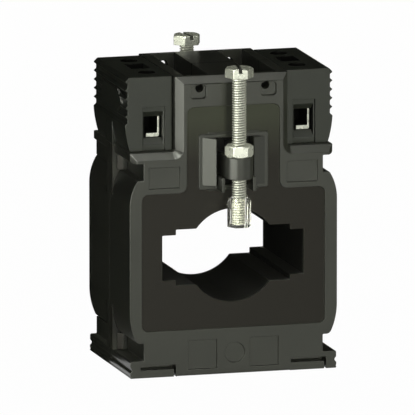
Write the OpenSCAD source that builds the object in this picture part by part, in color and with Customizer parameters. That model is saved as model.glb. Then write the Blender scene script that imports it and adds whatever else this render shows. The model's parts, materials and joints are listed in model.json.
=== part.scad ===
// Window type current transformer with two bar clamp screws.
// Millimetres. Base plane at z = 0, front face looks along -y, parting plane at y = 0.

/* [Housing] */
// overall width over the bulged sides
body_w = 60; // [59:0.5:64]
// depth over the front and rear faces
body_d = 42.6; // [41.6:0.2:46]
// height of the raised centre
body_h = 84.4; // [84:0.2:90]
// wall thickness of the two shells
wall = 1.8; // [1.6:0.1:2]
// depth of the sunk front panel
panel_t = 0.5; // [0.3:0.1:0.7]
// depth of the sunk plates in the front face
plate_t = 0.6; // [0.2:0.1:0.6]

/* [Window] */
// height of the window centre
window_z = 33.6; // [33.4:0.2:35]
// diameter of the cable opening
cable_d = 26.4; // [24:0.2:27]
// wide bar slot, width
bar_w = 40.8; // [38:0.2:41.2]
// wide bar slot, height
bar_h = 12.7; // [10:0.1:13]
// narrow bar slot, width
bar2_w = 32.9; // [30:0.1:34]
// narrow bar slot, height
bar2_h = 15.8; // [14:0.1:17]
// wall of the insulating sleeve
sleeve_t = 1.2; // [1:0.1:1.4]

/* [Coil] */
// thickness of the winding layer on each side of the core
wind_t = 0.8; // [0.6:0.1:0.9]
// thickness of the outer wrap
wrap_t = 0.3; // [0.2:0.1:0.4]
// diameter of the lead wires
lead_d = 1.6; // [1.2:0.1:2]

/* [Terminals] */
// half distance between the screws of one terminal
term_y = 9.3; // [8.8:0.1:9.8]
// width of the rising cage
cage_w = 4.7; // [4.4:0.1:4.9]
// length of the rising cage
cage_l = 8.6; // [8:0.2:9]
// thread diameter of the terminal screw
term_m = 3; // [2.5:0.5:3]
// diameter of the screwdriver hole
driver_d = 4.8; // [4.4:0.1:5]

/* [Clamp screws] */
// distance of the screw axis in front of the face
clamp_y = 5.7; // [5.5:0.1:6.5]
// thread diameter
clamp_m = 4; // [3:0.5:4]
// length under the head
clamp_len = 41.3; // [38:0.1:42]
// across flats of head and nut
clamp_af = 7; // [6:0.5:7]
// height of the head
head_h = 2.8; // [2.4:0.1:3.2]
// height of the nut
nut_h = 3.2; // [2.8:0.1:3.4]
// across flats of the pressure cap
cap_af = 6; // [5.8:0.1:6.2]
// height of the pressure cap
cap_h = 8.2; // [7:0.1:8.6]

/* [Hidden] */
$fn = 72;

// clearances
run_gap = 0.05;
slide_gap = 0.15;
free_gap = 0.35;
seat_gap = 0.1;
coil_gap = 0.4;
over = 1;

// housing
half_w = body_w / 2;
half_d = body_d / 2;
lip_x = half_w - 0.1;
lip_z = 4.9;
lip_top = 0.3;
neck_x = half_w - 4.1;
arm_t = 2;
arm_x = neck_x + arm_t;
notch_h = 4.7;
notch_lo = lip_z + notch_h + 0.2;
shoulder_z = body_h - 21.1;
ledge_z = shoulder_z - 2.7;
bulge_top = ledge_z - notch_h;
bulge_r_lo = 18.64;
bulge_z_lo = notch_lo + 8.6;
bulge_r_hi = 13.96;
bulge_z_hi = bulge_top - 7.6;
ledge_x = half_w - 0.7;
ledge_bevel = 1.5;
flange_y = 3.1;
hook_y = 4.6;
hook_x = half_w - 1.3;
hook_face_x = half_w - 2.7;
hook_edge = 0.3;
tower_x = 16.3;
bevel_w = 1.9;
bevel_d = 2.5;
bevel_k = bevel_w / bevel_d;
corner_r = 1;
floor_t = 2.2;
cavity_x = neck_x - wall;
cavity_step = 14;

// sunk panel
panel_edge = 3.6;
panel_z0 = 13.05;
panel_z1 = shoulder_z - 11.5;
panel_r = 1.8;
stem_x = tower_x - 2.9;
stem_z1 = body_h - 8.5;
stem_r = 2;
stem_fillet = 2.2;

// sunk plates
plate_x0 = tower_x - 0.8;
plate_w = 8.8;
plate_h = 5.9;
foot_plate_x = 4.8;
foot_plate_w = 8.2;
foot_plate_z = 1.8;
disc_x = 0.4;
disc_z = 6;
disc_r = 2.9;
seal_x = 9.5;
seal_z = body_h - 3.3;
seal_r = 1.15;
seal_field_t = 1.2;

// slots in the front edge of the base
slot_x0 = tower_x + 0.4;
slot_x1 = half_w - 3.2;
slot_d = 4;
slot_w = slot_x1 - slot_x0;
slot_z0 = 2.25;
slot_z1 = 3.4;
slit_w = 0.45;
foot_bevel_h = 0.9;
foot_bevel_d = 0.4;
foot_bevel_k = foot_bevel_d / foot_bevel_h;

// troughs in the raised centre
trough_x0 = 6.2;
trough_x1 = tower_x - 3;
trough_wall = 3.8;
trough_z = body_h - 14.4;

// coil, from the sleeve outwards
slot_r = sqrt(bar_w * bar_w + bar_h * bar_h) / 2;
sleeve_r = slot_r + sleeve_t + 0.2;
coil_r0 = sleeve_r + 0.3;
coil_r1 = half_w - wall - coil_gap;
cavity_r = half_w - wall;
core_r0 = coil_r0 + wind_t;
core_r1 = coil_r1 - wrap_t - wind_t;
coil_y = half_d - 5.3;
core_y = coil_y - wind_t;
ring_t = 0.7;
support_r = coil_r0 + 2.4;

// terminal block, right hand side
term_x = half_w - 8.3;
block_x0 = tower_x + 0.2;
block_y = half_d - 4.65;
block_z0 = shoulder_z;
block_z1 = body_h - 0.1;
rib_t = 0.75;
rib_h = 0.64;
rib_pitch = 2.48;
rib_z0 = block_z0 + 7.5;
rib_count = 5;
chamber_w = cage_w + 2 * slide_gap;
entry_w = cage_w + 0.9;
entry_z0 = block_z0 + 3.4;
entry_h = 5.95;
entry_z1 = entry_z0 + entry_h;
block_bevel = 0.9;
field_x0 = term_x - 3.2;
field_x1 = term_x + 3.2;
field_h = 12.4;
field_t = 0.8;
funnel_d = 2.7;
funnel_z = 2.35;
cage_z0 = entry_z0 + seat_gap;
cage_floor = 1.1;
cage_side = 0.55;
cage_lid = 1.5;
rail_z0 = entry_z1 + 0.45;
rail_t = 1;
rail_w = cage_w - 2 * cage_side - 0.3;
rail_y = term_y + cage_l / 2 - slide_gap;
cage_z1 = rail_z0 + rail_t + 0.2 + cage_lid;
cage_travel = 4.2;
chamber_z1 = cage_z1 + cage_travel + seat_gap;
lip_t = 2.1;
term_head_d = driver_d + 0.6;
term_head_z1 = block_z1 - lip_t - slide_gap;
term_head_z0 = chamber_z1 + 0.1;
driver_slot_w = 0.8;
driver_slot_t = 0.9;
probe_w = 5.4;
probe_y0 = -3.3;
probe_y1 = 4.2;
peg_d = 4;
peg_h = 1.5;
lead_y = 2.5;
lead_z0 = window_z + sqrt(core_r1 * core_r1 - pow(term_x - lead_d, 2)) + 0.2;

// clamp screws
axis_y = half_d + clamp_y;
boss_z = shoulder_z - 9.7;
boss_h = 13.45;
boss_x = 9;
boss_rim = 1.1;
crest_x = 5.4;
crest_y = 1.8;
pocket_x = 5.3;
pocket_d = 2.6;
pocket_back = 4.2;
pocket_side = 7.2;
barrel_r = 3.86;
barrel_z0 = shoulder_z - 6.8;
barrel_z1 = shoulder_z - 0.7;
guide_x0 = 4;
guide_x1 = 5;
stop_x = 2;
stop_z0 = boss_z - boss_rim;
nut_z = barrel_z1;
head_z = body_h + 0.5;
head_edge = 0.45;
head_turn = -9;
nut_turn = -8;
stop_y = clamp_af / sqrt(3) * cos(30 - abs(nut_turn)) + seat_gap;
nut_edge = 0.5;
clamp_slot_w = 1;
clamp_slot_t = 1.2;
tip_z = head_z - clamp_len;
cap_floor = 0.8;
cap_cone = 1.5;
cap_z0 = tip_z - cap_floor;
cap_z1 = cap_z0 + cap_h;

shell_colour = [0.29, 0.29, 0.26];
block_colour = [0.25, 0.25, 0.23];
metal_colour = [0.86, 0.86, 0.80];
copper_colour = [0.72, 0.42, 0.20];
steel_colour = [0.55, 0.56, 0.58];
clear_colour = [0.93, 0.93, 0.88];

// flat drawing in x and z, thickness along y
module along_y(y0, y1) {
    translate([0, y1, 0])
        rotate([90, 0, 0])
            linear_extrude(y1 - y0)
                children();
}

// flat drawing in y and z, thickness along x
module along_x(x0, x1) {
    translate([x0, 0, 0])
        rotate([90, 0, 90])
            linear_extrude(x1 - x0)
                children();
}

module along_z(z0, z1) {
    translate([0, 0, z0])
        linear_extrude(z1 - z0)
            children();
}

module both_sides() {
    children();
    mirror([1, 0, 0]) children();
}

module to_rear() {
    mirror([0, 1, 0]) children();
}

// box between two opposite corners
module block(a, b) {
    translate(a) cube(b - a);
}

module rounded(x0, z0, x1, z1, r) {
    translate([x0 + r, z0]) square([x1 - x0 - 2 * r, z1 - z0]);
    translate([x0, z0 + r]) square([x1 - x0, z1 - z0 - 2 * r]);
    for (x = [x0 + r, x1 - r])
        for (z = [z0 + r, z1 - r])
            translate([x, z]) circle(r);
}

function arc(cx, cz, r, a0, a1, n) =
    [for (i = [0 : n]) let (a = a0 + (a1 - a0) * i / n) [cx + r * cos(a), cz + r * sin(a)]];

function mirrored(pts) =
    concat(pts, [for (i = [len(pts) - 1 : -1 : 0]) [-pts[i][0], pts[i][1]]]);

// ribbed side of the base, bottom to top
function lip_side() = [
    [lip_x - 0.2, 0], [lip_x, 0.3], [lip_x - 0.25, 0.65], [lip_x - 0.05, 1],
    [lip_x - 0.05, 1.7], [lip_x - 0.55, 2.15], [lip_x - 0.55, 2.75], [lip_x - 0.1, 3.2],
    [lip_x - 0.1, lip_z - 0.3], [lip_x - lip_top, lip_z]
];

function bulge_side() = concat(
    [[neck_x, lip_z], [neck_x, notch_lo], [half_w - 2.9, notch_lo],
     [half_w - 2.3, notch_lo + 0.15]],
    arc(half_w - bulge_r_lo, bulge_z_lo, bulge_r_lo,
        -asin((bulge_z_lo - notch_lo - 0.7) / bulge_r_lo), 0, 10),
    arc(half_w - bulge_r_hi, bulge_z_hi, bulge_r_hi,
        0, asin((bulge_top - 0.4 - bulge_z_hi) / bulge_r_hi), 10),
    [[half_w - 2.4, bulge_top], [neck_x, bulge_top]]
);

function shoulder_side() = [
    [neck_x, ledge_z], [ledge_x - 0.5, ledge_z], [ledge_x, ledge_z + 0.5],
    [ledge_x, shoulder_z]
];

module shell_outline() {
    polygon(mirrored(concat(lip_side(), bulge_side(), shoulder_side())));
}

module window_profile(grow) {
    translate([0, window_z]) {
        circle(cable_d / 2 + grow);
        square([bar_w + 2 * grow, bar_h + 2 * grow], center = true);
        square([bar2_w + 2 * grow, bar2_h + 2 * grow], center = true);
    }
}

// sunk panel: wide field below, narrow field above, filleted where they meet
module panel_profile() {
    wide_x = half_w - panel_edge;
    rounded(-wide_x, panel_z0, wide_x, panel_z1, panel_r);
    rounded(-stem_x, panel_z1 - 8, stem_x, stem_z1, stem_r);
    for (s = [-1, 1])
        difference() {
            translate([s * (stem_x + stem_fillet / 2), panel_z1 + stem_fillet / 2])
                square(stem_fillet, center = true);
            translate([s * (stem_x + stem_fillet), panel_z1 + stem_fillet]) circle(stem_fillet);
        }
}

module lower_body() {
    difference() {
        along_y(-half_d, 0) shell_outline();
        // sloping front edge of the shoulder
        along_x(-half_w - over, half_w + over)
            polygon([[-half_d - over, shoulder_z - bevel_w - over * bevel_k],
                     [-half_d + bevel_d + over, shoulder_z + over * bevel_k],
                     [-half_d - over, shoulder_z + over * bevel_k]]);
        // cut back corner of the shoulder
        both_sides()
            along_z(ledge_z - 0.01, shoulder_z + over)
                polygon([[ledge_x - ledge_bevel, -half_d - 0.01],
                         [ledge_x + over, -half_d - 0.01],
                         [ledge_x + over, -half_d + bevel_d], [ledge_x, -half_d + bevel_d]]);
    }
}

module tower() {
    difference() {
        block([-tower_x, -half_d, bulge_top - 6], [tower_x, 0, body_h]);
        along_x(-tower_x - over, tower_x + over)
            polygon([[-half_d - over, body_h - bevel_w - over * bevel_k],
                     [-half_d + bevel_d + over, body_h + over * bevel_k],
                     [-half_d - over, body_h + over * bevel_k]]);
        both_sides()
            along_z(bulge_top - 7, body_h + over)
                polygon([[tower_x - bevel_w - over * bevel_k, -half_d - over],
                         [tower_x + over * bevel_k, -half_d + bevel_d + over],
                         [tower_x + over, -half_d - over]]);
    }
}

// hollow corner where the raised centre meets the shoulder
module corner_fillets() {
    x = tower_x + corner_r;
    z = shoulder_z + corner_r;
    both_sides()
        difference() {
            block([tower_x - bevel_w - 0.5, -half_d, shoulder_z - bevel_w - 0.5],
                  [x, -block_y - seat_gap, z]);
            translate([x, -half_d - 0.01, z])
                rotate([-90, 0, 0])
                    cylinder(r1 = corner_r + bevel_w + 0.03, r2 = corner_r + 0.03, h = bevel_d + 0.01);
            translate([x, -half_d + bevel_d - 0.01, z])
                rotate([-90, 0, 0])
                    cylinder(r = corner_r + 0.03, h = half_d);
        }
}

module flange() {
    block([-half_w, -flange_y, lip_z], [half_w, 0, shoulder_z]);
}

module cavities() {
    along_y(-half_d + wall, over) {
        translate([0, window_z]) circle(cavity_r);
        mid_z = window_z + cavity_step;
        translate([-cavity_x, mid_z])
            square([2 * cavity_x, shoulder_z - wall - mid_z]);
        translate([-tower_x + wall, mid_z])
            square([2 * (tower_x - wall), trough_z - wall - mid_z]);
        translate([-trough_x0 + wall, mid_z])
            square([2 * (trough_x0 - wall), body_h - wall - mid_z]);
        translate([-cavity_step, floor_t]) square([2 * cavity_step, cavity_step]);
    }
}

module troughs() {
    both_sides()
        block([trough_x0, -half_d + trough_wall, trough_z], [trough_x1, over, body_h + over]);
}

// ring that centres the sleeve and holds the coil endwise
module coil_support() {
    along_y(-half_d + wall - 0.2, -coil_y - ring_t - seat_gap)
        translate([0, window_z])
            difference() {
                circle(support_r);
                circle(sleeve_r + seat_gap);
            }
}

// slots of the foot clips in the front edge of the base
module base_slots() {
    // both slots end in a slit on their right
    for (x = [-slot_x1, slot_x0]) {
        block([x, -half_d - over, slot_z0], [x + slot_w, -half_d + slot_d, slot_z1]);
        block([x + slot_w - slit_w, -half_d - over, -over],
              [x + slot_w, -half_d + slot_d, slot_z1]);
    }
    along_x(-tower_x, tower_x)
        polygon([[-half_d - over, -over], [-half_d + foot_bevel_d + over * foot_bevel_k, -over],
                 [-half_d - over * foot_bevel_k, foot_bevel_h + over],
                 [-half_d - over, foot_bevel_h + over]]);
}

module sunk_plates() {
    y0 = -half_d - over;
    y1 = -half_d + plate_t;
    both_sides() {
        block([plate_x0, y0, bulge_top - 2.5], [plate_x0 + plate_w, y1, bulge_top - 2.5 + plate_h]);
        block([foot_plate_x, y0, foot_plate_z],
              [foot_plate_x + foot_plate_w, y1, foot_plate_z + foot_plate_w]);
    }
    along_y(y0, y1)
        translate([disc_x, disc_z]) circle(disc_r);
}

// sunk fields around the seal wire holes
module seal_fields() {
    both_sides()
        along_y(-half_d - over, -half_d + seal_field_t)
            rounded(seal_x - 1.6, seal_z - 2.8, seal_x + 2.9, seal_z + 0.9, 0.9);
}

module boss_outer() {
    // wedge shaped wings beside the screw
    along_z(boss_z, boss_z + boss_h)
        polygon([[-boss_x, -half_d + wall / 2], [-boss_x, -half_d],
                 [-crest_x, -half_d - crest_y], [crest_x, -half_d - crest_y],
                 [boss_x, -half_d], [boss_x, -half_d + wall / 2]]);
    // closed back of the screw pocket
    block([-pocket_side, -half_d + 0.2, boss_z - 1.5],
          [pocket_side, -half_d + pocket_back, boss_z + boss_h + 1.5]);
}

module boss_pocket() {
    block([-pocket_x, -half_d - crest_y - over, boss_z],
          [pocket_x, -half_d + pocket_d, boss_z + boss_h]);
}

module boss_barrel() {
    back_y = -half_d + pocket_d + 0.2;
    difference() {
        union() {
            translate([0, -axis_y, barrel_z0]) cylinder(r = barrel_r, h = barrel_z1 - barrel_z0);
            block([-barrel_r, -axis_y, barrel_z0], [barrel_r, back_y, barrel_z1]);
        }
        translate([0, -axis_y, barrel_z0 - over])
            cylinder(r = clamp_m / 2 + free_gap, h = barrel_z1 - barrel_z0 + 2 * over);
    }
    // flat stop behind the nut
    block([-stop_x, -axis_y + stop_y, barrel_z1 - 0.2],
          [stop_x, back_y, barrel_z1 + nut_h]);
    // guide ribs for the pressure cap
    both_sides()
        block([guide_x0, -axis_y + 0.1, stop_z0], [guide_x1, back_y, barrel_z0 + 0.1]);
}

module notch_bars(x0, x1, y0, y1, gap) {
    both_sides() {
        block([x0, y0, lip_z + gap], [x1, y1, notch_lo - gap]);
        block([x0, y0, bulge_top + gap], [x1, y1, ledge_z - gap]);
    }
}

module half_shell(rear) {
    difference() {
        union() {
            difference() {
                union() {
                    lower_body();
                    tower();
                    flange();
                    if (rear) notch_bars(neck_x - over, arm_x, -half_d, 0, 0);
                }
                cavities();
                along_y(-half_d - over, -half_d + panel_t)
                    difference() {
                        panel_profile();
                        rounded(-boss_x - 1, boss_z - boss_rim, boss_x + 1,
                                boss_z + boss_h + boss_rim, 0.6);
                    }
            }
            coil_support();
            boss_outer();
            corner_fillets();
        }
        seal_fields();
        if (!rear) sunk_plates();
        troughs();
        boss_pocket();
        base_slots();
        along_y(-half_d - 4, over) window_profile(0);
        // seal wire holes into the troughs
        both_sides()
            along_y(-half_d - over, -half_d + trough_wall + over)
                translate([seal_x, seal_z]) circle(seal_r);
        // seats of the terminal blocks
        both_sides()
            translate([term_x, -term_y, shoulder_z - wall - over])
                cylinder(d = peg_d + 2 * slide_gap, h = wall + 2 * over);
        both_sides()
            if (rear)
                translate([term_x, -lead_y, shoulder_z - wall - over])
                    cylinder(d = lead_d + 2 * free_gap, h = wall + 2 * over);
        if (!rear) notch_bars(neck_x - 0.01, arm_x + seat_gap, -flange_y - over, over, 0);
    }
    boss_barrel();
}

// latch arms reaching through the front flange, with a ramp on each hook
module latch_arms() {
    root_y = -flange_y - seat_gap;
    difference() {
        union() {
            notch_bars(neck_x + seat_gap, arm_x, -hook_y, over, slide_gap);
            notch_bars(neck_x + seat_gap, hook_x, -hook_y, root_y, slide_gap);
        }
        both_sides()
            along_z(lip_z, ledge_z)
                polygon([[hook_face_x, -hook_y - over], [hook_x + over, -hook_y - over],
                         [hook_x + over, root_y - hook_edge], [hook_x, root_y - hook_edge],
                         [hook_face_x, -hook_y]]);
    }
}

module front_shell() {
    color(shell_colour) half_shell(false);
}

module rear_shell() {
    color(shell_colour) {
        to_rear() half_shell(true);
        latch_arms();
    }
}

module window_sleeve() {
    y = half_d - wall;
    color(shell_colour)
        along_y(-y, y)
            difference() {
                intersection() {
                    window_profile(sleeve_t);
                    translate([0, window_z]) circle(sleeve_r);
                }
                window_profile(0);
            }
}

// hollow ring around the window axis
module ring(r0, r1, y) {
    along_y(-y, y)
        translate([0, window_z])
            difference() {
                circle(r1);
                circle(r0);
            }
}

module lead_bores() {
    both_sides()
        translate([term_x, lead_y, lead_z0])
            cylinder(d = lead_d + 0.1, h = window_z + coil_r1 - lead_z0 + over);
}

module core() {
    color(steel_colour) ring(core_r0, core_r1, core_y);
}

module secondary_winding() {
    color(copper_colour)
        difference() {
            ring(coil_r0, coil_r1 - wrap_t, coil_y);
            ring(core_r0, core_r1, core_y);
            lead_bores();
        }
}

module winding_wrap() {
    color([0.85, 0.75, 0.35])
        difference() {
            ring(coil_r1 - wrap_t, coil_r1, coil_y);
            lead_bores();
        }
}

module coil_ring() {
    along_y(-coil_y - ring_t, -coil_y)
        translate([0, window_z])
            difference() {
                circle(coil_r1);
                circle(coil_r0);
            }
}

module coil_ring_front() {
    color([0.80, 0.78, 0.70]) coil_ring();
}

module coil_ring_rear() {
    color([0.80, 0.78, 0.70]) to_rear() coil_ring();
}

module lead() {
    color([0.75, 0.15, 0.10])
        translate([term_x, lead_y, lead_z0])
            cylinder(d = lead_d, h = rail_z0 - lead_z0);
}

module lead_right() {
    lead();
}

module lead_left() {
    mirror([1, 0, 0]) lead();
}

// outer side of the block: smooth below, ribbed above
function rib_points() = [
    for (i = [0 : rib_count - 1])
        for (p = [[half_w, rib_z0 + i * rib_pitch],
                  [half_w - rib_t, rib_z0 + i * rib_pitch + rib_h],
                  [half_w - rib_t, rib_z0 + (i + 1) * rib_pitch - rib_h]]) p
];

module block_outline() {
    top_z = rib_z0 + rib_count * rib_pitch;
    polygon(concat(
        [[block_x0, block_z0], [half_w - 1.4, block_z0], [half_w - 0.94, block_z0 + 1.5],
         [half_w - 0.6, block_z0 + 3], [half_w - 0.3, block_z0 + 4.6],
         [half_w - 0.1, block_z0 + 6.2]],
        rib_points(),
        [[half_w - 0.05, top_z - 0.15], [half_w - 0.2, block_z1 - block_bevel],
         [half_w - 0.2 - block_bevel, block_z1], [block_x0, block_z1]]));
}

// arrow shaped plate between the ribs
module side_plate() {
    plate_z0 = rib_z0 + rib_pitch - 0.28;
    plate_z1 = plate_z0 + 6.9;
    along_x(half_w - rib_t - over, half_w)
        polygon([[-block_y + 8.6, plate_z1], [-block_y + 4.3, plate_z0 + 3.5],
                 [-block_y + 9.2, plate_z0], [block_y - 4.3, plate_z0],
                 [block_y - 10.7, plate_z1]]);
}

// wire entry at the front: shallow field, sloping floor and roof, square opening
module wire_entry() {
    block([field_x0, -block_y - over, block_z0 - over],
          [field_x1, -block_y + field_t, block_z0 + field_h]);
    along_x(term_x - entry_w / 2, term_x + entry_w / 2)
        polygon([[-block_y - 0.3, entry_z0 - funnel_z - 0.26],
                 [-block_y + funnel_d, entry_z0],
                 [-block_y + funnel_d, entry_z1],
                 [-block_y - 0.3, entry_z1 + funnel_z + 0.26]]);
    block([term_x - entry_w / 2, -block_y + funnel_d - 0.1, entry_z0],
          [term_x + entry_w / 2, -term_y, entry_z1]);
}

module cage_chamber() {
    y = cage_l / 2 + slide_gap;
    block([term_x - chamber_w / 2, -term_y - y, entry_z0],
          [term_x + chamber_w / 2, -term_y + y, chamber_z1]);
    // head room, closed above by a retaining lip
    translate([term_x, -term_y, chamber_z1 - 0.1])
        cylinder(d = term_head_d + 2 * free_gap, h = block_z1 - lip_t - chamber_z1 + 0.1);
    translate([term_x, -term_y, block_z1 - lip_t - over])
        cylinder(d = driver_d, h = lip_t + 2 * over);
}

module terminal_block() {
    difference() {
        union() {
            along_y(-block_y, block_y) block_outline();
            side_plate();
            block([half_w - 2, -flange_y, block_z0], [half_w, flange_y, rib_z0]);
            for (s = [-1, 1])
                translate([term_x, s * term_y, block_z0 - peg_h])
                    cylinder(d = peg_d, h = peg_h + 0.5);
        }
        for (s = [0, 1])
            mirror([0, s, 0]) {
                wire_entry();
                cage_chamber();
            }
        // channel for the rail
        block([term_x - rail_w / 2 - seat_gap, -term_y, rail_z0],
              [term_x + rail_w / 2 + seat_gap, term_y, rail_z0 + rail_t + seat_gap]);
        // test opening in the top
        block([term_x - probe_w / 2, probe_y0, rail_z0 + rail_t],
              [term_x + probe_w / 2, probe_y1, block_z1 + over]);
        translate([term_x, lead_y, block_z0 - over])
            cylinder(d = lead_d + 0.6, h = rail_z0 - block_z0 + over + 0.1);
    }
}

module terminal_block_right() {
    color(block_colour) terminal_block();
}

module terminal_block_left() {
    color(block_colour) mirror([1, 0, 0]) terminal_block();
}

module contact_rail() {
    color([0.88, 0.84, 0.62])
        block([term_x - rail_w / 2, -rail_y, rail_z0], [term_x + rail_w / 2, rail_y, rail_z0 + rail_t]);
}

module contact_rail_right() {
    contact_rail();
}

module contact_rail_left() {
    mirror([1, 0, 0]) contact_rail();
}

// bent sheet frame with a threaded lid
module cage() {
    w = cage_w / 2;
    color(metal_colour)
        translate([term_x, -term_y, 0])
            difference() {
                along_y(-cage_l / 2, cage_l / 2)
                    difference() {
                        rounded(-w, cage_z0, w, cage_z1, 0.5);
                        rounded(-w + cage_side, cage_z0 + cage_floor, w - cage_side,
                                cage_z1 - cage_lid, 0.3);
                    }
                translate([0, 0, cage_z1 - cage_lid - over])
                    cylinder(d = term_m + 2 * run_gap, h = cage_lid + 2 * over);
            }
}

module cage_front_right() {
    cage();
}

module cage_front_left() {
    mirror([1, 0, 0]) cage();
}

module cage_rear_right() {
    to_rear() cage();
}

module cage_rear_left() {
    mirror([1, 0, 0]) to_rear() cage();
}

module terminal_screw() {
    tip = rail_z0 + rail_t + run_gap;
    color(metal_colour)
        translate([term_x, -term_y, 0])
            difference() {
                union() {
                    translate([0, 0, tip]) cylinder(d = term_m, h = term_head_z0 - tip + 0.1);
                    translate([0, 0, term_head_z0])
                        cylinder(d = term_head_d, h = term_head_z1 - term_head_z0);
                }
                block([-term_head_d, -driver_slot_w / 2, term_head_z1 - driver_slot_t],
                      [term_head_d, driver_slot_w / 2, term_head_z1 + over]);
            }
}

module terminal_screw_front_right() {
    terminal_screw();
}

module terminal_screw_front_left() {
    mirror([1, 0, 0]) terminal_screw();
}

module terminal_screw_rear_right() {
    to_rear() terminal_screw();
}

module terminal_screw_rear_left() {
    mirror([1, 0, 0]) to_rear() terminal_screw();
}

// hexagon with corners along x, its edge rounded off by a cone
module hex_body(af, h, edge, low_edge) {
    ac = af / cos(30);
    intersection() {
        cylinder(d = ac, h = h, $fn = 6);
        union() {
            translate([0, 0, h - edge]) cylinder(d1 = ac, d2 = af - 0.1, h = edge);
            translate([0, 0, low_edge]) cylinder(d = ac, h = h - edge - low_edge);
            if (low_edge > 0) cylinder(d1 = af - 0.1, d2 = ac, h = low_edge);
        }
    }
}

module clamp_screw(turn) {
    color(metal_colour)
        translate([0, -axis_y, 0])
            rotate([0, 0, turn])
                difference() {
                    union() {
                        translate([0, 0, tip_z + run_gap])
                            cylinder(d = clamp_m, h = head_z - tip_z);
                        translate([0, 0, head_z]) hex_body(clamp_af, head_h, head_edge, 0);
                    }
                    block([-clamp_slot_w / 2, -clamp_af, head_z + head_h - clamp_slot_t],
                          [clamp_slot_w / 2, clamp_af, head_z + head_h + over]);
                }
}

module clamp_screw_front() {
    clamp_screw(head_turn);
}

module clamp_screw_rear() {
    to_rear() clamp_screw(head_turn);
}

module clamp_nut(turn) {
    color(metal_colour)
        translate([0, -axis_y, nut_z])
            rotate([0, 0, turn])
                difference() {
                    hex_body(clamp_af, nut_h, nut_edge, nut_edge);
                    translate([0, 0, -over])
                        cylinder(d = clamp_m + 2 * run_gap, h = nut_h + 2 * over);
                }
}

module clamp_nut_front() {
    clamp_nut(nut_turn);
}

module clamp_nut_rear() {
    to_rear() clamp_nut(nut_turn);
}

module clamp_cap() {
    ac = cap_af / cos(30);
    color(clear_colour)
        translate([0, -axis_y, cap_z0])
            difference() {
                intersection() {
                    cylinder(d = ac, h = cap_h, $fn = 6);
                    union() {
                        cylinder(d = ac, h = cap_h - cap_cone);
                        translate([0, 0, cap_h - cap_cone])
                            cylinder(d1 = ac, d2 = clamp_m + 1, h = cap_cone);
                    }
                }
                translate([0, 0, tip_z - cap_z0])
                    cylinder(d = clamp_m + 2 * run_gap, h = cap_h);
            }
}

module clamp_cap_front() {
    clamp_cap();
}

module clamp_cap_rear() {
    to_rear() clamp_cap();
}

front_shell();
rear_shell();
window_sleeve();
core();
secondary_winding();
winding_wrap();
coil_ring_front();
coil_ring_rear();
lead_left();
lead_right();
terminal_block_left();
terminal_block_right();
contact_rail_left();
contact_rail_right();
cage_front_left();
cage_front_right();
cage_rear_left();
cage_rear_right();
terminal_screw_front_left();
terminal_screw_front_right();
terminal_screw_rear_left();
terminal_screw_rear_right();
clamp_screw_front();
clamp_screw_rear();
clamp_nut_front();
clamp_nut_rear();
clamp_cap_front();
clamp_cap_rear();
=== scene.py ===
import json
import math

import bmesh
import bpy
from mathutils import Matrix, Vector

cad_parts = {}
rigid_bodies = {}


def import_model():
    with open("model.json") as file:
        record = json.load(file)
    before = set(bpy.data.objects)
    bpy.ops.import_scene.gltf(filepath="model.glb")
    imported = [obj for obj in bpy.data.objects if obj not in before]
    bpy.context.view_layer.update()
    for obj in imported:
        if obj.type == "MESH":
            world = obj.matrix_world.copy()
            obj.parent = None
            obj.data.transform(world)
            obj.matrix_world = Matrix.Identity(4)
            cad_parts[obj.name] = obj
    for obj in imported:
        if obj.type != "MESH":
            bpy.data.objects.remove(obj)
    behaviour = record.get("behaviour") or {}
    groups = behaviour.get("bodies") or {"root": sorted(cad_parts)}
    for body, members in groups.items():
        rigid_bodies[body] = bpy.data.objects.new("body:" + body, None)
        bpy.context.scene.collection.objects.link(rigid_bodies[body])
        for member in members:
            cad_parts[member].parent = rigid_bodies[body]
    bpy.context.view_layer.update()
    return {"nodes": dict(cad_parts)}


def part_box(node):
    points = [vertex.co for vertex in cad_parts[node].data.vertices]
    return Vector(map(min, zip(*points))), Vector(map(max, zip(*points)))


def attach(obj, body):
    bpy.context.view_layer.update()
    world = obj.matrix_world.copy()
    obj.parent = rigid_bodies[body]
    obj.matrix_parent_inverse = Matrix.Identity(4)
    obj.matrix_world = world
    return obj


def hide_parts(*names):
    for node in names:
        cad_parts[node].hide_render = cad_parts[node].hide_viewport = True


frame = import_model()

# Current transformer with two clamp screws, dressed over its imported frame.
# Metres, front face towards -y, base plane at z = 0.

MM = 0.001
ENDS = {"front": -1, "rear": 1}
SIDES = {"left": -1, "right": 1}

# rounds on the edges of the shells, blocks, sheet metal and turned parts
SHELL_EDGE = 0.2 * MM
BLOCK_EDGE = 0.18 * MM
SHEET_EDGE = 0.07 * MM
NUT_EDGE = 0.12 * MM
ROUND_STEPS = 2

# an edge is sharp above the first angle, and faces are one flat face below the second
SHARP_ANGLE = math.radians(28)
FLAT_ANGLE = math.radians(1)
FLAT_FACE_WEIGHT = 100

# points closer than this are one point: in a CAD mesh, in a swept thread, and at a cut
CAD_WELD = 0.001 * MM
THREAD_WELD = 0.002 * MM
CUT_SLACK = 0.0001 * MM

# faces closer than this lie in one plane
FACE_SLACK = 0.06 * MM

# how much of a face's normal lies along an axis
SQUARE_ON = 0.9
HALF_WAY = 0.5
LEANING = 0.3
LOOKS_AWAY = 0.2

# metric threads of the clamp and terminal screws
CLAMP_R = 2.0 * MM
CLAMP_CORE_R = 1.6 * MM
CLAMP_PITCH = 0.7 * MM
TERMINAL_R = 1.5 * MM
TERMINAL_CORE_R = 1.2 * MM
TERMINAL_PITCH = 0.5 * MM
THREAD_STEPS = 30

# one turn of a thread: the share of the pitch at which each root and crest starts and ends
ROOT_END = 0.08
CREST_START = 0.3
CREST_END = 0.66
ROOT_START = 0.88

# painted shade goes on the grooves, which are what lies inside this share of the radius or looks
# down, apart from flat ends
GROOVE_R = 0.87
FLAT_END = 0.98

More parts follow.
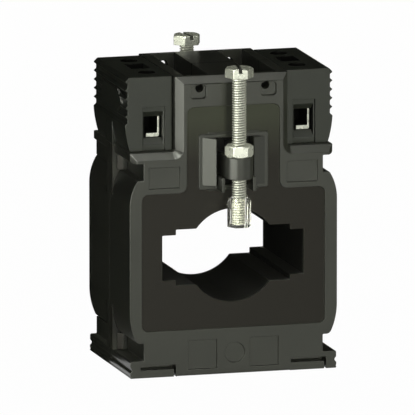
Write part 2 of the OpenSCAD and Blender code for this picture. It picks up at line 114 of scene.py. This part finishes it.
# heights of the heads, measured down from the top of each screw
CLAMP_HEAD_H = 2.8 * MM
TERMINAL_HEAD_H = 1.85 * MM
HEAD_CUT_LIFT = 0.002 * MM
ROD_IN_HEAD = 0.05 * MM
SLOT_REACH = 1.5 * MM

# sunk floor of the front and rear panel, measured in from the face
HOUSING_HALF_DEPTH = 21.3 * MM
PANEL_DEPTH = 0.5 * MM
# heights between which the panel's painted reflection grows
STEM_LOW = 54 * MM
PANEL_TOP = 79 * MM

# pocket behind the clamp screw, whose faces get painted shade
POCKET_DEPTH = 1.0 * MM
POCKET_X = 5.5 * MM
POCKET_WALL_X = 9 * MM
POCKET_LOW = 53.4 * MM
POCKET_HIGH = 67.3 * MM

# ramps of the latch hooks, which get the panel's darker finish as painted shade, and the most that
# their normals lie along x
HOOK_X = 27 * MM
HOOK_Y = 5 * MM
RAMP_MOST = 0.95

# chambers, driver holes and wire entries of each terminal block, and the left bar of a cage, all of
# which get painted shade
CHAMBER_Y = 14 * MM
BLOCK_SIDE_X = 28.4 * MM
ENTRY_LOW = 64 * MM
ENTRY_HIGH = 76 * MM
ENTRY_IN = 19 * MM
CAGE_BAR = 0.95 * MM

# places in a piece's list of finishes: two on a shell, the panel and the pocket's painted shade,
# and the painted shade on every other piece
PANEL = 1
POCKET = 2
PAINTED_SHADE = 1

# share of the floor's own white where it is seen; the rest is lit and keeps the shadow
FLOOR_GLOW = 0.985
FLOOR_R = 3
FLOOR_SIDES = 96
FLOOR_DROP = 0.05 * MM

# light from the surroundings, beside the lamps
WORLD_FILL = 0.012

# light of the lamps, a little yellow green
LAMP_TINT = (0.98, 1.0, 0.89)

# dark card round the back of the object, from its right side to its left, in degrees
CARD_FROM = 75
CARD_TO = 264
CARD_STEPS = 32
CARD_NEAR = 5 * MM
CARD_R = 150 * MM
CARD_LIFT = 0.05 * MM
CARD_H = 600 * MM

# camera, from the photograph
VIEW_WIDTH = 115.886 * MM
VIEW_TARGET = Vector((-1.545, 0, 43.242)) * MM
VIEW_AZIMUTH = math.radians(-15.73)
VIEW_ELEVATION = math.radians(10.8)
LENS = 1600
SENSOR = 36
CLIP_START = 0.1
CLIP_END = 20


def towards(azimuth, elevation):
    """Unit vector from the object to a place round it; azimuth 0 is in front of it."""
    return Vector((
        math.sin(azimuth) * math.cos(elevation),
        -math.cos(azimuth) * math.cos(elevation),
        math.sin(elevation),
    ))


# Shader helpers


class Value:
    """A shader socket that takes part in sums."""

    def __init__(self, finish, socket):
        self.finish = finish
        self.socket = socket

    def sum_with(self, operation, other):
        """Maths node on this value and another one, or a number."""
        return self.finish.node("ShaderNodeMath", [self, other], operation=operation)

    def __add__(self, other):
        return self.sum_with("ADD", other)

    def __radd__(self, other):
        return self.sum_with("ADD", other)

    def __sub__(self, other):
        return self.sum_with("SUBTRACT", other)

    def __mul__(self, other):
        return self.sum_with("MULTIPLY", other)

    def __truediv__(self, other):
        return self.sum_with("DIVIDE", other)


class Finish:
    """A node material, or another node tree, that is built up one node at a time."""

    def __init__(self, name, tree=None):
        if tree is None:
            self.material = bpy.data.materials.new(name)
            self.material.use_nodes = True
            tree = self.material.node_tree
        self.tree = tree
        tree.nodes.clear()

    def node(self, kind, inputs=(), out=0, stops=None, **settings):
        """Adds a node, sets or links its inputs, and gives one of its outputs."""
        made = self.tree.nodes.new(kind)
        for key, setting in settings.items():
            setattr(made, key, setting)
        if stops:
            ramp = made.color_ramp
            while len(ramp.elements) < len(stops):
                ramp.elements.new(0.5)
            for element, (place, colour) in zip(ramp.elements, stops):
                element.position = place
                element.color = (*colour, 1)
        pairs = inputs.items() if isinstance(inputs, dict) else enumerate(inputs)
        for key, given in pairs:
            if given is None:
                continue
            socket = made.inputs[key]
            if isinstance(given, Value):
                self.tree.links.new(given.socket, socket)
            elif isinstance(given, (tuple, list)) and len(socket.default_value) == 4:
                socket.default_value = (*given[:3], 1)
            else:
                socket.default_value = given
        return Value(self, made.outputs[out])

    def place(self, stretch=(1, 1, 1)):
        """Object coordinates in metres, stretched along the axes."""
        coords = self.node("ShaderNodeTexCoord", out="Object")
        return self.node("ShaderNodeMapping", {"Vector": coords, "Scale": stretch})

    def noise(self, size, detail=2, stretch=(1, 1, 1)):
        """Grain whose grains are about size metres across, from 0 to 1."""
        return self.node("ShaderNodeTexNoise", {
            "Vector": self.place(stretch), "Scale": 1 / size, "Detail": detail,
        }, out="Fac")

    def tint(self, factor, dark, light):
        """Colour between two, as factor goes from a quarter to three quarters."""
        return self.node("ShaderNodeValToRGB", [factor], stops=[(0.25, dark), (0.75, light)])

    def bump(self, height, depth):
        """Relief whose height goes up to depth metres."""
        return self.node("ShaderNodeBump", {"Strength": 1.0, "Distance": depth, "Height": height})

    def surface(self, colour, rough, normal=None, **constants):
        """Ends the material in one principled shader."""
        names = {
            "metallic": "Metallic", "specular": "Specular IOR Level",
            "transmission": "Transmission Weight", "ior": "IOR",
        }
        inputs = {"Base Color": colour, "Roughness": rough, "Normal": normal}
        inputs.update({names[key]: number for key, number in constants.items()})
        self.show(self.node("ShaderNodeBsdfPrincipled", inputs))
        return self.material

    def show(self, shader, kind="ShaderNodeOutputMaterial"):
        """Links a shader to the tree's output."""
        output = self.tree.nodes.new(kind)
        self.tree.links.new(shader.socket, output.inputs["Surface"])


# Finishes


def shade(colour, factor):
    """The colour made darker or lighter by a factor."""
    return tuple(part * factor for part in colour)


def black_plastic(name, colour, rough=0.3, specular=0.3):
    """Moulded black thermoplastic with a fine spark-eroded grain."""
    finish = Finish(name)
    patches = finish.noise(9 * MM, 3)
    fine = finish.noise(0.35 * MM, 3)
    colours = finish.tint(patches * 0.7 + fine * 0.3, shade(colour, 0.9), shade(colour, 1.1))
    roughness = rough - 0.04 + patches * 0.08
    relief = finish.bump(fine, 0.006 * MM)
    return finish.surface(colours, roughness, relief, specular=specular)


def panel_plastic(name, low_colour, high_colour):
    """Smoother plastic of the sunk panel, brown below; the lighter green towards the top of its
    stem is a painted reflection.
    """
    finish = Finish(name)
    fine = finish.noise(0.4 * MM, 3)
    up = finish.node("ShaderNodeSeparateXYZ", [finish.place()], out="Z")
    # painted reflection: lighter and greener with height up the stem
    height = (up - STEM_LOW) / (PANEL_TOP - STEM_LOW) + (fine - 0.5) * 0.1
    colours = finish.tint(height, low_colour, high_colour)
    relief = finish.bump(fine, 0.003 * MM)
    return finish.surface(colours, 0.42 + fine * 0.06, relief, specular=0.12)


def plated_metal(name, colour, rough, metallic=0.4):
    """Zinc or tin plating with faint drawing marks along Z."""
    finish = Finish(name)
    clouds = finish.noise(1.6 * MM, 3)
    marks = finish.noise(0.25 * MM, 2, stretch=(1, 1, 0.15))
    colours = finish.tint(clouds, shade(colour, 0.9), shade(colour, 1.04))
    roughness = rough - 0.05 + clouds * 0.1
    relief = finish.bump(marks, 0.003 * MM)
    return finish.surface(colours, roughness, relief, metallic=metallic)


def clear_plastic(name):
    """Clear moulded plastic of the pressure caps, faintly milky."""
    finish = Finish(name)
    flow = finish.noise(1.2 * MM, 3, stretch=(1, 1, 0.4))
    colours = finish.tint(flow, (0.86, 0.86, 0.78), (0.96, 0.96, 0.9))
    relief = finish.bump(flow, 0.001 * MM)
    return finish.surface(colours, 0.02 + flow * 0.02, relief, transmission=0.97, ior=1.4)


def wound_strip(name):
    """Edges of wound electrical steel strip: fine rings round the window axis."""
    finish = Finish(name)
    rings = finish.node("ShaderNodeTexWave", {
        "Vector": finish.place(), "Scale": 1 / (1.2 * MM), "Distortion": 0.3,
    }, out="Fac", wave_type="RINGS", rings_direction="Y")
    colours = finish.tint(rings, (0.2, 0.21, 0.23), (0.42, 0.43, 0.46))
    return finish.surface(colours, 0.38 + rings * 0.1, finish.bump(rings, 0.02 * MM), metallic=1.0)


def enamelled_copper(name):
    """Turns of enamelled wire lying side by side."""
    finish = Finish(name)
    turns = finish.node("ShaderNodeTexWave", {
        "Vector": finish.place(), "Scale": 1 / (2.4 * MM), "Distortion": 0.2,
    }, out="Fac", wave_type="BANDS", bands_direction="DIAGONAL")
    colours = finish.tint(turns, (0.3, 0.09, 0.03), (0.62, 0.25, 0.09))
    return finish.surface(colours, 0.28 + turns * 0.06, finish.bump(turns, 0.1 * MM), metallic=0.8)


def soft_matt(name, dark, light, grain, rough):
    """Board, tape and insulation: a mottled matt surface."""
    finish = Finish(name)
    mottle = finish.noise(grain, 4)
    colours = finish.tint(mottle, dark, light)
    relief = finish.bump(mottle, 0.01 * MM)
    return finish.surface(colours, rough - 0.05 + mottle * 0.1, relief)


housing_black = black_plastic("housing_black", (0.049, 0.051, 0.0405))
panel_painted_light = panel_plastic("panel_painted_light", (0.0245, 0.0222, 0.0176), (0.062, 0.066, 0.046))
# very dark: painted shade in the pocket behind the clamp screw
pocket_painted_shade = black_plastic("pocket_painted_shade", (0.008, 0.008, 0.007), rough=0.5, specular=0.08)
# near black: painted shade in block chambers, holes, wire entries and inside the cages
painted_shade_black = black_plastic("painted_shade_black", (0.003, 0.003, 0.0025), rough=0.6, specular=0.02)
block_black = black_plastic("block_black", (0.039, 0.0425, 0.0335), rough=0.3, specular=0.22)
sleeve_black = black_plastic("sleeve_black", (0.012, 0.012, 0.01), rough=0.38, specular=0.2)
zinc_plating = plated_metal("zinc_plating", (0.48, 0.49, 0.425), rough=0.27, metallic=0.5)
nut_zinc = plated_metal("nut_zinc", (0.66, 0.67, 0.59), rough=0.28, metallic=0.45)
rod_zinc = plated_metal("rod_zinc", (0.5, 0.505, 0.44), rough=0.36)
# very dark zinc: painted shade in thread grooves and screw slots
zinc_painted_shade = plated_metal("zinc_painted_shade", (0.06, 0.06, 0.05), rough=0.45)
tin_plating = plated_metal("tin_plating", (0.72, 0.7, 0.64), rough=0.34)
cap_clear = clear_plastic("cap_clear")
strip_steel = wound_strip("strip_steel")
wire_copper = enamelled_copper("wire_copper")
tape_yellow = soft_matt("tape_yellow", (0.6, 0.42, 0.08), (0.8, 0.62, 0.18), 3 * MM, 0.35)
board_tan = soft_matt("board_tan", (0.5, 0.44, 0.32), (0.72, 0.65, 0.5), 0.8 * MM, 0.75)
insulation_red = soft_matt("insulation_red", (0.38, 0.02, 0.015), (0.5, 0.04, 0.03), 0.6 * MM, 0.5)


# Pieces


def copy_of(node):
    """Merged copy of a CAD node's mesh, its flat faces joined."""
    mesh = bmesh.new()
    mesh.from_mesh(frame["nodes"][node].data)
    for face in mesh.faces:
        face.material_index = 0
    bmesh.ops.remove_doubles(mesh, verts=mesh.verts, dist=CAD_WELD)
    bmesh.ops.dissolve_limit(
        mesh, angle_limit=FLAT_ANGLE, verts=mesh.verts, edges=mesh.edges)
    return mesh


def cut(mesh, point, normal, clear_above=False, clear_below=False):
    """Cuts the mesh along a plane, and clears what lies above or below it."""
    bmesh.ops.bisect_plane(
        mesh, geom=mesh.verts[:] + mesh.edges[:] + mesh.faces[:], dist=CUT_SLACK,
        plane_co=point, plane_no=normal, clear_outer=clear_above, clear_inner=clear_below)


def close_ends(mesh):
    """Fills the openings that cuts have left."""
    rims = [edge for edge in mesh.edges if edge.is_boundary]
    bmesh.ops.holes_fill(mesh, edges=rims, sides=0)


def soften(mesh, width):
    """Small round on every sharp edge, as a mould leaves it."""
    sharp = [
        edge for edge in mesh.edges
        if len(edge.link_faces) == 2 and edge.calc_face_angle(0) > SHARP_ANGLE
    ]
    bmesh.ops.bevel(
        mesh, geom=sharp, offset=width, offset_type="OFFSET", segments=ROUND_STEPS, profile=0.5,
        affect="EDGES", material=-1, clamp_overlap=False)


def finish_piece(mesh, name, body, materials, node):
    """Makes an object of the mesh, which rides on a body and stands for a CAD node."""
    data = bpy.data.meshes.new(name)
    mesh.to_mesh(data)
    mesh.free()
    data.polygons.foreach_set("use_smooth", [True] * len(data.polygons))
    data.set_sharp_from_angle(angle=SHARP_ANGLE)
    piece = bpy.data.objects.new(name, data)
    bpy.context.scene.collection.objects.link(piece)
    for material in materials:
        data.materials.append(material)
    even = piece.modifiers.new("flat faces stay flat", "WEIGHTED_NORMAL")
    even.keep_sharp = True
    even.weight = FLAT_FACE_WEIGHT
    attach(piece, body)
    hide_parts(node)


def threaded_rod(outer, core, pitch, low, high, x, y):
    """Upright threaded rod with flat ends, its thread swept once round its axis."""
    mesh = bmesh.new()
    shape = [(ROOT_END, core), (CREST_START, outer), (CREST_END, outer), (ROOT_START, core)]
    # a turn more at either end, which the cuts take off
    turns = range(-1, math.ceil((high - low) / pitch) + 1)
    verts = [
        mesh.verts.new((x + radius, y, low + (turn + part) * pitch))
        for turn in turns
        for part, radius in shape
    ]
    edges = [mesh.edges.new(pair) for pair in zip(verts, verts[1:])]
    bmesh.ops.spin(
        mesh, geom=verts + edges, cent=(x, y, 0), axis=(0, 0, 1), angle=math.tau,
        dvec=(0, 0, pitch / THREAD_STEPS), steps=THREAD_STEPS, use_merge=False)
    bmesh.ops.remove_doubles(mesh, verts=mesh.verts, dist=THREAD_WELD)
    cut(mesh, (0, 0, low), (0, 0, 1), clear_below=True)
    cut(mesh, (0, 0, high), (0, 0, 1), clear_above=True)
    close_ends(mesh)
    bmesh.ops.recalc_face_normals(mesh, faces=mesh.faces)
    return mesh


def darken_grooves(mesh, outer, x, y):
    """Paints shade on the grooves of a thread and on its flanks that face down."""
    for face in mesh.faces:
        middle = face.calc_center_median()
        radius = math.hypot(middle.x - x, middle.y - y)
        groove = radius < GROOVE_R * outer or face.normal.z < -LEANING
        if groove and abs(face.normal.z) < FLAT_END:
            face.material_index = PAINTED_SHADE


def head_of(node, height):
    """Copy of a screw's head, cut off at its underside and closed, with painted shade in its slot.
    """
    mesh = copy_of(node)
    low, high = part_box(node)
    # the faces of the slot get painted shade
    for face in mesh.faces:
        middle = face.calc_center_median()
        off_axis = math.hypot(middle.x - (low.x + high.x) / 2, middle.y - (low.y + high.y) / 2)
        if off_axis < SLOT_REACH and middle.z < high.z - FACE_SLACK:
            face.material_index = PAINTED_SHADE
    cut(mesh, (0, 0, high.z - height + HEAD_CUT_LIFT), (0, 0, 1), clear_below=True)
    close_ends(mesh)
    soften(mesh, NUT_EDGE)
    return mesh


def shell(end):
    """Half of the housing, with a finish of its own on the sunk panel, painted shade in the pocket
    and on the inner faces behind it, and the panel's finish as painted shade on the latch hook
    ramps.
    """
    node = end + "_shell"
    mesh = copy_of(node)
    soften(mesh, SHELL_EDGE)
    for face in mesh.faces:
        middle = face.calc_center_median()
        out = middle.y * ENDS[end]
        facing = face.normal.y * ENDS[end]
        if abs(out - (HOUSING_HALF_DEPTH - PANEL_DEPTH)) < FACE_SLACK and facing > SQUARE_ON:
            face.material_index = PANEL
        # painted shade in the pocket and on the faces behind it
        sunk = out < HOUSING_HALF_DEPTH - POCKET_DEPTH and POCKET_LOW < middle.z < POCKET_HIGH
        reach = POCKET_WALL_X if facing > SQUARE_ON else POCKET_X
        if sunk and abs(middle.x) < reach and facing > -HALF_WAY:
            face.material_index = POCKET
        # painted shade: the panel's darker finish on the hook ramps
        hook = abs(middle.x) > HOOK_X and abs(middle.y) < HOOK_Y
        if hook and face.normal.y < -LEANING and LEANING < abs(face.normal.x) < RAMP_MOST:
            face.material_index = PANEL
        behind = middle.z > POCKET_LOW and abs(middle.x) < POCKET_WALL_X
        if behind and facing < -LOOKS_AWAY:
            face.material_index = POCKET
    finish_piece(mesh, end + "_housing", "housing",
                 [housing_black, panel_painted_light, pocket_painted_shade], node)


def block(side):
    """Terminal block, with painted shade in its chambers, driver holes and wire entries."""
    node = "terminal_block_" + side
    mesh = copy_of(node)
    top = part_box(node)[1].z
    for face in mesh.faces:
        middle = face.calc_center_median()
        # painted shade in chambers and driver holes and on the cheeks of the wire entries
        if ENTRY_IN < abs(middle.x) < BLOCK_SIDE_X:
            chamber = abs(middle.y) < CHAMBER_Y and middle.z < top - FACE_SLACK
            cheek = abs(face.normal.x) > SQUARE_ON and ENTRY_LOW < middle.z < ENTRY_HIGH
            if chamber or cheek:
                face.material_index = PAINTED_SHADE
    soften(mesh, BLOCK_EDGE)
    finish_piece(mesh, side + "_block", "housing", [block_black, painted_shade_black], node)


def sleeve():
    """Insulating tube round the window."""
    mesh = copy_of("window_sleeve")
    soften(mesh, BLOCK_EDGE)
    finish_piece(mesh, "sleeve", "housing", [sleeve_black], "window_sleeve")


def cage(end, side):
    """Rising cage, bright at its front and rear edges, with painted shade on its left bar and
    inside.
    """
    node = f"cage_{end}_{side}"
    mesh = copy_of(node)
    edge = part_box(node)[0].x + CAGE_BAR
    cut(mesh, (edge, 0, 0), (1, 0, 0))
    for face in mesh.faces:
        # painted shade on the left bar and on the faces inside the cage
        if abs(face.normal.y) < HALF_WAY or face.calc_center_median().x < edge:
            face.material_index = PAINTED_SHADE
    soften(mesh, SHEET_EDGE)
    finish_piece(mesh, f"{end}_{side}_cage", node, [zinc_plating, painted_shade_black], node)


def screw(node, name, head_h, outer, core, pitch):
    """Slotted head and threaded rod of one screw."""
    body = node.replace("clamp_screw", "screw")
    low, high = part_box(node)
    middle = (low + high) / 2
    head = head_of(node, head_h)
    top = high.z - head_h + ROD_IN_HEAD
    rod = threaded_rod(outer, core, pitch, low.z, top, middle.x, middle.y)
    finish_piece(head, name + "_head", body, [zinc_plating, zinc_painted_shade], node)
    darken_grooves(rod, outer, middle.x, middle.y)
    finish_piece(rod, name + "_thread", body, [rod_zinc, zinc_painted_shade], node)


def clamp(end):
    """Clamp screw, its nut on the barrel and the pressure cap on its tip."""
    screw("clamp_screw_" + end, end + "_clamp", CLAMP_HEAD_H, CLAMP_R, CLAMP_CORE_R, CLAMP_PITCH)
    nut = copy_of("clamp_nut_" + end)
    soften(nut, NUT_EDGE)
    finish_piece(nut, end + "_nut", "housing", [nut_zinc], "clamp_nut_" + end)
    cap = copy_of("clamp_cap_" + end)
    soften(cap, NUT_EDGE)
    finish_piece(cap, end + "_cap", "cap_" + end, [cap_clear], "clamp_cap_" + end)


def repaint(node, material):
    """New material on a CAD node whose shape stays."""
    for place in frame["nodes"][node].material_slots:
        place.material = material


for end in ENDS:
    shell(end)
    clamp(end)
    for side in SIDES:
        cage(end, side)
        name = f"terminal_screw_{end}_{side}"
        screw(name, f"{end}_{side}_terminal", TERMINAL_HEAD_H,
              TERMINAL_R, TERMINAL_CORE_R, TERMINAL_PITCH)
for side in SIDES:
    block(side)
    repaint("contact_rail_" + side, tin_plating)
    repaint("lead_" + side, insulation_red)
sleeve()
repaint("core", strip_steel)
repaint("secondary_winding", wire_copper)
repaint("winding_wrap", tape_yellow)
repaint("coil_ring_front", board_tan)
repaint("coil_ring_rear", board_tan)


# Studio


def seen_directly(finish):
    """1 for rays that reach the background by camera, mirror or glass."""
    rays = [
        finish.node("ShaderNodeLightPath", out=kind)
        for kind in ("Is Camera Ray", "Is Glossy Ray", "Is Transmission Ray")
    ]
    return finish.node("ShaderNodeMath", [sum(rays), 1.0], operation="MINIMUM")


def white_floor():
    """Pale floor that keeps the object's soft shadow."""
    finish = Finish("floor_white")
    dust = finish.noise(40 * MM, 2)
    paint = finish.tint(dust, (0.9, 0.9, 0.9), (0.92, 0.92, 0.92))
    matt = finish.node("ShaderNodeBsdfDiffuse", {"Color": paint})
    glow = finish.node("ShaderNodeEmission", {"Color": (1, 1, 1), "Strength": 1.0})
    share = seen_directly(finish) * FLOOR_GLOW
    finish.show(finish.node("ShaderNodeMixShader", [share, matt, glow]))
    mesh = bmesh.new()
    bmesh.ops.create_circle(mesh, cap_ends=True, segments=FLOOR_SIDES, radius=FLOOR_R)
    data = bpy.data.meshes.new("floor")
    mesh.to_mesh(data)
    mesh.free()
    floor = bpy.data.objects.new("floor", data)
    floor.location.z = -FLOOR_DROP
    bpy.context.scene.collection.objects.link(floor)
    data.materials.append(finish.material)


def white_world():
    """White where it is seen, and a plain fill light everywhere else."""
    world = bpy.data.worlds.new("studio")
    world.use_nodes = True
    bpy.context.scene.world = world
    finish = Finish("studio", world.node_tree)
    strength = seen_directly(finish) * (1 - WORLD_FILL) + WORLD_FILL
    sky = finish.node("ShaderNodeBackground", {"Color": (1, 1, 1), "Strength": strength})
    finish.show(sky, "ShaderNodeOutputWorld")


def softbox(name, azimuth, elevation, distance, size, power, flat=True, shine=True, shadow=True,
            only=None):
    """Area lamp that faces the object from a direction in degrees, size and distance in metres.

    It gives flat light, shine or both, with or without shadow, to all pieces or only to some.
    """
    data = bpy.data.lights.new(name, "AREA")
    data.shape = "RECTANGLE"
    data.size, data.size_y = size
    data.energy = power
    data.color = LAMP_TINT
    data.use_shadow = shadow
    lamp = bpy.data.objects.new(name, data)
    away = towards(math.radians(azimuth), math.radians(elevation))
    lamp.location = VIEW_TARGET + away * distance
    lamp.rotation_mode = "QUATERNION"
    lamp.rotation_quaternion = away.to_track_quat("Z", "Y")
    lamp.visible_camera = False
    lamp.visible_diffuse = flat
    lamp.visible_glossy = shine
    lamp.light_linking.receiver_collection = only
    bpy.context.scene.collection.objects.link(lamp)


def dark_card():
    """Curved dark card behind the object, which only its glossy faces mirror."""
    mesh = bmesh.new()
    start = math.radians(CARD_FROM)
    along = Vector((math.sin(start), -math.cos(start), 0))
    verts = [
        mesh.verts.new(along * CARD_NEAR + Vector((0, 0, CARD_LIFT))),
        mesh.verts.new(along * CARD_R + Vector((0, 0, CARD_LIFT))),
        mesh.verts.new(along * CARD_R + Vector((0, 0, CARD_H))),
    ]
    edges = [mesh.edges.new(pair) for pair in zip(verts, verts[1:])]
    bmesh.ops.spin(
        mesh, geom=verts + edges, cent=(0, 0, 0), axis=(0, 0, 1),
        angle=math.radians(CARD_TO - CARD_FROM), steps=CARD_STEPS, use_merge=False)
    data = bpy.data.meshes.new("dark_card")
    mesh.to_mesh(data)
    mesh.free()
    finish = Finish("card_black")
    cloth = finish.noise(6 * MM, 2)
    black = finish.tint(cloth, (0.004, 0.004, 0.004), (0.008, 0.008, 0.008))
    data.materials.append(finish.surface(black, 0.9, specular=0.0))
    card = bpy.data.objects.new("dark_card", data)
    card.visible_camera = False
    card.visible_diffuse = False
    card.visible_shadow = False
    card.visible_transmission = False
    bpy.context.scene.collection.objects.link(card)


def camera():
    """Camera that looks at the object as the photograph does."""
    data = bpy.data.cameras.new("camera")
    data.lens = LENS
    data.sensor_width = SENSOR
    data.clip_start = CLIP_START
    data.clip_end = CLIP_END
    view = bpy.data.objects.new("camera", data)
    away = towards(VIEW_AZIMUTH, VIEW_ELEVATION)
    view.location = VIEW_TARGET + away * (LENS / SENSOR * VIEW_WIDTH)
    view.rotation_mode = "QUATERNION"
    view.rotation_quaternion = away.to_track_quat("Z", "Y")
    bpy.context.scene.collection.objects.link(view)
    bpy.context.scene.camera = view


white_floor()
white_world()
dark_card()
plated_parts = bpy.data.collections.new("plated_parts")
for piece in bpy.context.scene.objects:
    if piece.name.endswith(("_clamp_head", "_clamp_thread", "_nut")):
        plated_parts.objects.link(piece)
softbox("front_box", 4, 2, 1.2, (0.24, 0.5), 8.6, shine=False)
softbox("gloss_box", -2, -3, 0.6, (0.46, 0.14), 1.1, flat=False, shadow=False)
softbox("top_box", 0, 90, 1.2, (0.3, 0.3), 9, flat=False, shadow=False)
softbox("plating_left_box", -100, 35, 0.6, (0.3, 0.3), 2.0, shadow=False, only=plated_parts)
softbox("plating_right_box", 80, 40, 0.6, (0.3, 0.3), 1.5, shadow=False, only=plated_parts)
softbox("corner_box", -62, 52, 0.6, (0.3, 0.3), 6.5, flat=False)
softbox("shine_box", -58, -2, 0.22, (0.26, 0.11), 0.85, flat=False, shadow=False)
softbox("right_box", 98, 2, 1.2, (0.3, 0.5), 2.5, shine=False)
softbox("left_box", -98, 2, 1.2, (0.2, 0.5), 0.3, shine=False)
softbox("rear_box", 180, 2, 1.3, (0.3, 0.5), 24, shine=False)
camera()
bpy.context.scene.view_settings.view_transform = "Standard"
